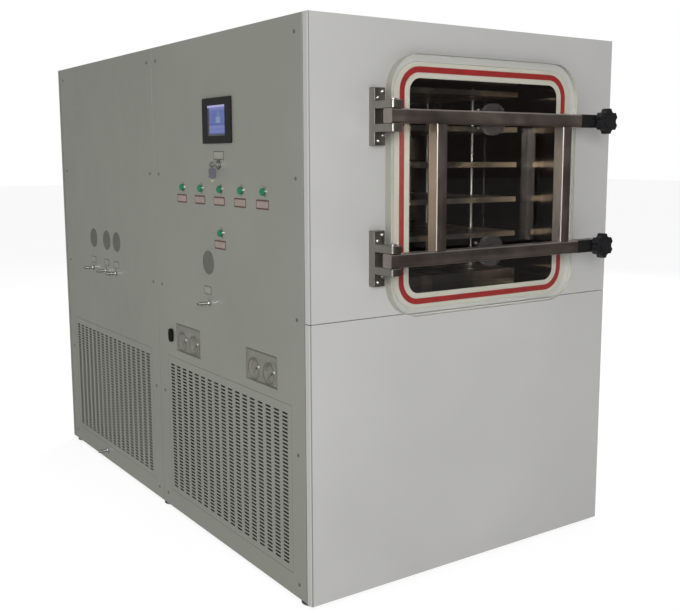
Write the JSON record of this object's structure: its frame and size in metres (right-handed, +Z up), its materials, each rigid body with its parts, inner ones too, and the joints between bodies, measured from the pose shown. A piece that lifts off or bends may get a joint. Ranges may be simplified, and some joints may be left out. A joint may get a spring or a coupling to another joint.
{
  "type": "freeze dryer",
  "caption": "Floor-standing vacuum freeze dryer: clear front door clamped on a red seal, heated shelves inside, controls and hose nozzles on its left side.",
  "frame": {"origin": "middle of the whole object's footprint, on the floor", "axes": "+Z up, +Y from the door side towards the rear, +X from the control side towards the plain side"},
  "size_m": [1.195, 2.111, 1.6],
  "materials": {
    "panel_paint": "semi-gloss stoved paint",
    "front_paint": "semi-gloss stoved paint",
    "frame_paint": "matt primer",
    "stainless": "brushed",
    "polished_steel": "polished",
    "silicone_seal": "satin",
    "clear_plate": "polished clear acrylic",
    "black_metal": "black lacquer",
    "black_plastic": "fine grain",
    "black_rubber": "matt",
    "screen_glass": "lit display under glass",
    "green_plastic": "gloss",
    "bezel_chrome": "satin chrome",
    "grey_plastic": "fine grain",
    "insert_plastic": "matt",
    "pointer_paint": "black paint",
    "tag_plastic": "satin",
    "machine_paint": "satin",
    "fan_plastic": "matt"
  },
  "bodies": {
    "cabinet": {"bottom_plate": "polished_steel", "button_bezels": "bezel_chrome", "cabinet_frame": "frame_paint", "cable_grommet": "black_rubber", "chamber": "stainless", "clamp_sockets": "stainless", "cold_trap": "machine_paint", "compressors": "machine_paint", "condensers": "frame_paint", "door_seal": "silicone_seal", "electrical_box": "machine_paint", "floor_pan": "frame_paint", "front_panel_lower": "front_paint", "front_panel_upper": "front_paint", "gauge_inserts": "insert_plastic", "gauge_windows": "clear_plate", "hinge_brackets": "stainless", "hinge_pins": "stainless", "hose_nozzles": "stainless", "key_switch": "stainless", "left_panel_front": "panel_paint", "left_panel_rear": "panel_paint", "levelling_feet": "stainless", "oil_manifold": "stainless", "oil_tank": "machine_paint", "panel_housing": "black_plastic", "panel_screen": "screen_glass", "rear_panel": "panel_paint", "right_panel_front": "panel_paint", "right_panel_rear": "panel_paint", "roof_panels": "panel_paint", "round_covers": "grey_plastic", "shelf_posts": "stainless", "shelves": "polished_steel", "suction_pipe": "stainless", "vacuum_pump": "machine_paint", "vent_covers": "panel_paint"},
    "door": {"door_plate": "clear_plate", "door_frame": "stainless", "door_pads": "clear_plate", "clamp_arms": "black_metal"},
    "knob_upper": {"knob_upper": "black_plastic"},
    "knob_lower": {"knob_lower": "black_plastic"},
    "key": {"switch_key": "stainless"},
    "tag": {"key_tag": "tag_plastic"},
    "fan_front": {"fan_front": "fan_plastic"},
    "fan_rear": {"fan_rear": "fan_plastic"},
    "button_1": {"button_1": "green_plastic"},
    "button_2": {"button_2": "green_plastic"},
    "button_3": {"button_3": "green_plastic"},
    "button_4": {"button_4": "green_plastic"},
    "button_5": {"button_5": "green_plastic"},
    "button_6": {"button_6": "green_plastic"},
    "gauge_pointer_1": {"gauge_pointer_1": "pointer_paint"},
    "gauge_pointer_2": {"gauge_pointer_2": "pointer_paint"},
    "gauge_pointer_3": {"gauge_pointer_3": "pointer_paint"},
    "gauge_pointer_4": {"gauge_pointer_4": "pointer_paint"}
  },
  "joints": [
    {"name": "door_hinge", "type": "hinge", "parent": "cabinet", "child": "door", "pos_m": [-0.348, -1.0065, 1.152], "axis": [0, 0, 1], "range_deg": [-120, 0]},
    {"name": "knob_upper_turn", "type": "hinge", "parent": "door", "child": "knob_upper", "pos_m": [0.4425, -1.0255, 1.3415], "axis": [0, 1, 0], "continuous": true},
    {"name": "knob_lower_turn", "type": "hinge", "parent": "door", "child": "knob_lower", "pos_m": [0.4425, -1.0255, 0.9625], "axis": [0, 1, 0], "continuous": true},
    {"name": "button_1_press", "type": "slide", "parent": "cabinet", "child": "button_1", "axis": [1, 0, 0], "range_m": [0, 0.004], "stiffness_N_per_m": 400, "springref_m": -0.001},
    {"name": "button_2_press", "type": "slide", "parent": "cabinet", "child": "button_2", "axis": [1, 0, 0], "range_m": [0, 0.004], "stiffness_N_per_m": 400, "springref_m": -0.001},
    {"name": "button_3_press", "type": "slide", "parent": "cabinet", "child": "button_3", "axis": [1, 0, 0], "range_m": [0, 0.004], "stiffness_N_per_m": 400, "springref_m": -0.001},
    {"name": "button_4_press", "type": "slide", "parent": "cabinet", "child": "button_4", "axis": [1, 0, 0], "range_m": [0, 0.004], "stiffness_N_per_m": 400, "springref_m": -0.001},
    {"name": "button_5_press", "type": "slide", "parent": "cabinet", "child": "button_5", "axis": [1, 0, 0], "range_m": [0, 0.004], "stiffness_N_per_m": 400, "springref_m": -0.001},
    {"name": "button_6_press", "type": "slide", "parent": "cabinet", "child": "button_6", "axis": [1, 0, 0], "range_m": [0, 0.004], "stiffness_N_per_m": 400, "springref_m": -0.001},
    {"name": "key_turn", "type": "hinge", "parent": "cabinet", "child": "key", "pos_m": [-0.5575, -0.4205, 1.214], "axis": [1, 0, 0], "range_deg": [0, 45]},
    {"name": "tag_swing", "type": "hinge", "parent": "key", "child": "tag", "pos_m": [-0.579, -0.4205, 1.2101], "axis": [1, 0, 0], "range_deg": [-45, 0]},
    {"name": "gauge_1_pointer", "type": "hinge", "parent": "cabinet", "child": "gauge_pointer_1", "pos_m": [-0.5575, -0.706, 0.625], "axis": [1, 0, 0], "range_deg": [0, 270], "stiffness_Nm_per_rad": 0.002},
    {"name": "gauge_2_pointer", "type": "hinge", "parent": "cabinet", "child": "gauge_pointer_2", "pos_m": [-0.5575, -0.618, 0.625], "axis": [1, 0, 0], "range_deg": [0, 270], "stiffness_Nm_per_rad": 0.002},
    {"name": "gauge_3_pointer", "type": "hinge", "parent": "cabinet", "child": "gauge_pointer_3", "pos_m": [-0.5575, -0.216, 0.625], "axis": [1, 0, 0], "range_deg": [0, 270], "stiffness_Nm_per_rad": 0.002},
    {"name": "gauge_4_pointer", "type": "hinge", "parent": "cabinet", "child": "gauge_pointer_4", "pos_m": [-0.5575, -0.128, 0.625], "axis": [1, 0, 0], "range_deg": [0, 270], "stiffness_Nm_per_rad": 0.002},
    {"name": "fan_front_spin", "type": "hinge", "parent": "cabinet", "child": "fan_front", "pos_m": [-0.5575, -0.417, 0.318], "axis": [1, 0, 0], "continuous": true},
    {"name": "fan_rear_spin", "type": "hinge", "parent": "cabinet", "child": "fan_rear", "pos_m": [-0.5575, 0.548, 0.318], "axis": [1, 0, 0], "continuous": true}
  ],
  "couplings": [
    {"joint": "tag_swing", "follows": "key_turn", "ratio": -1}
  ]
}
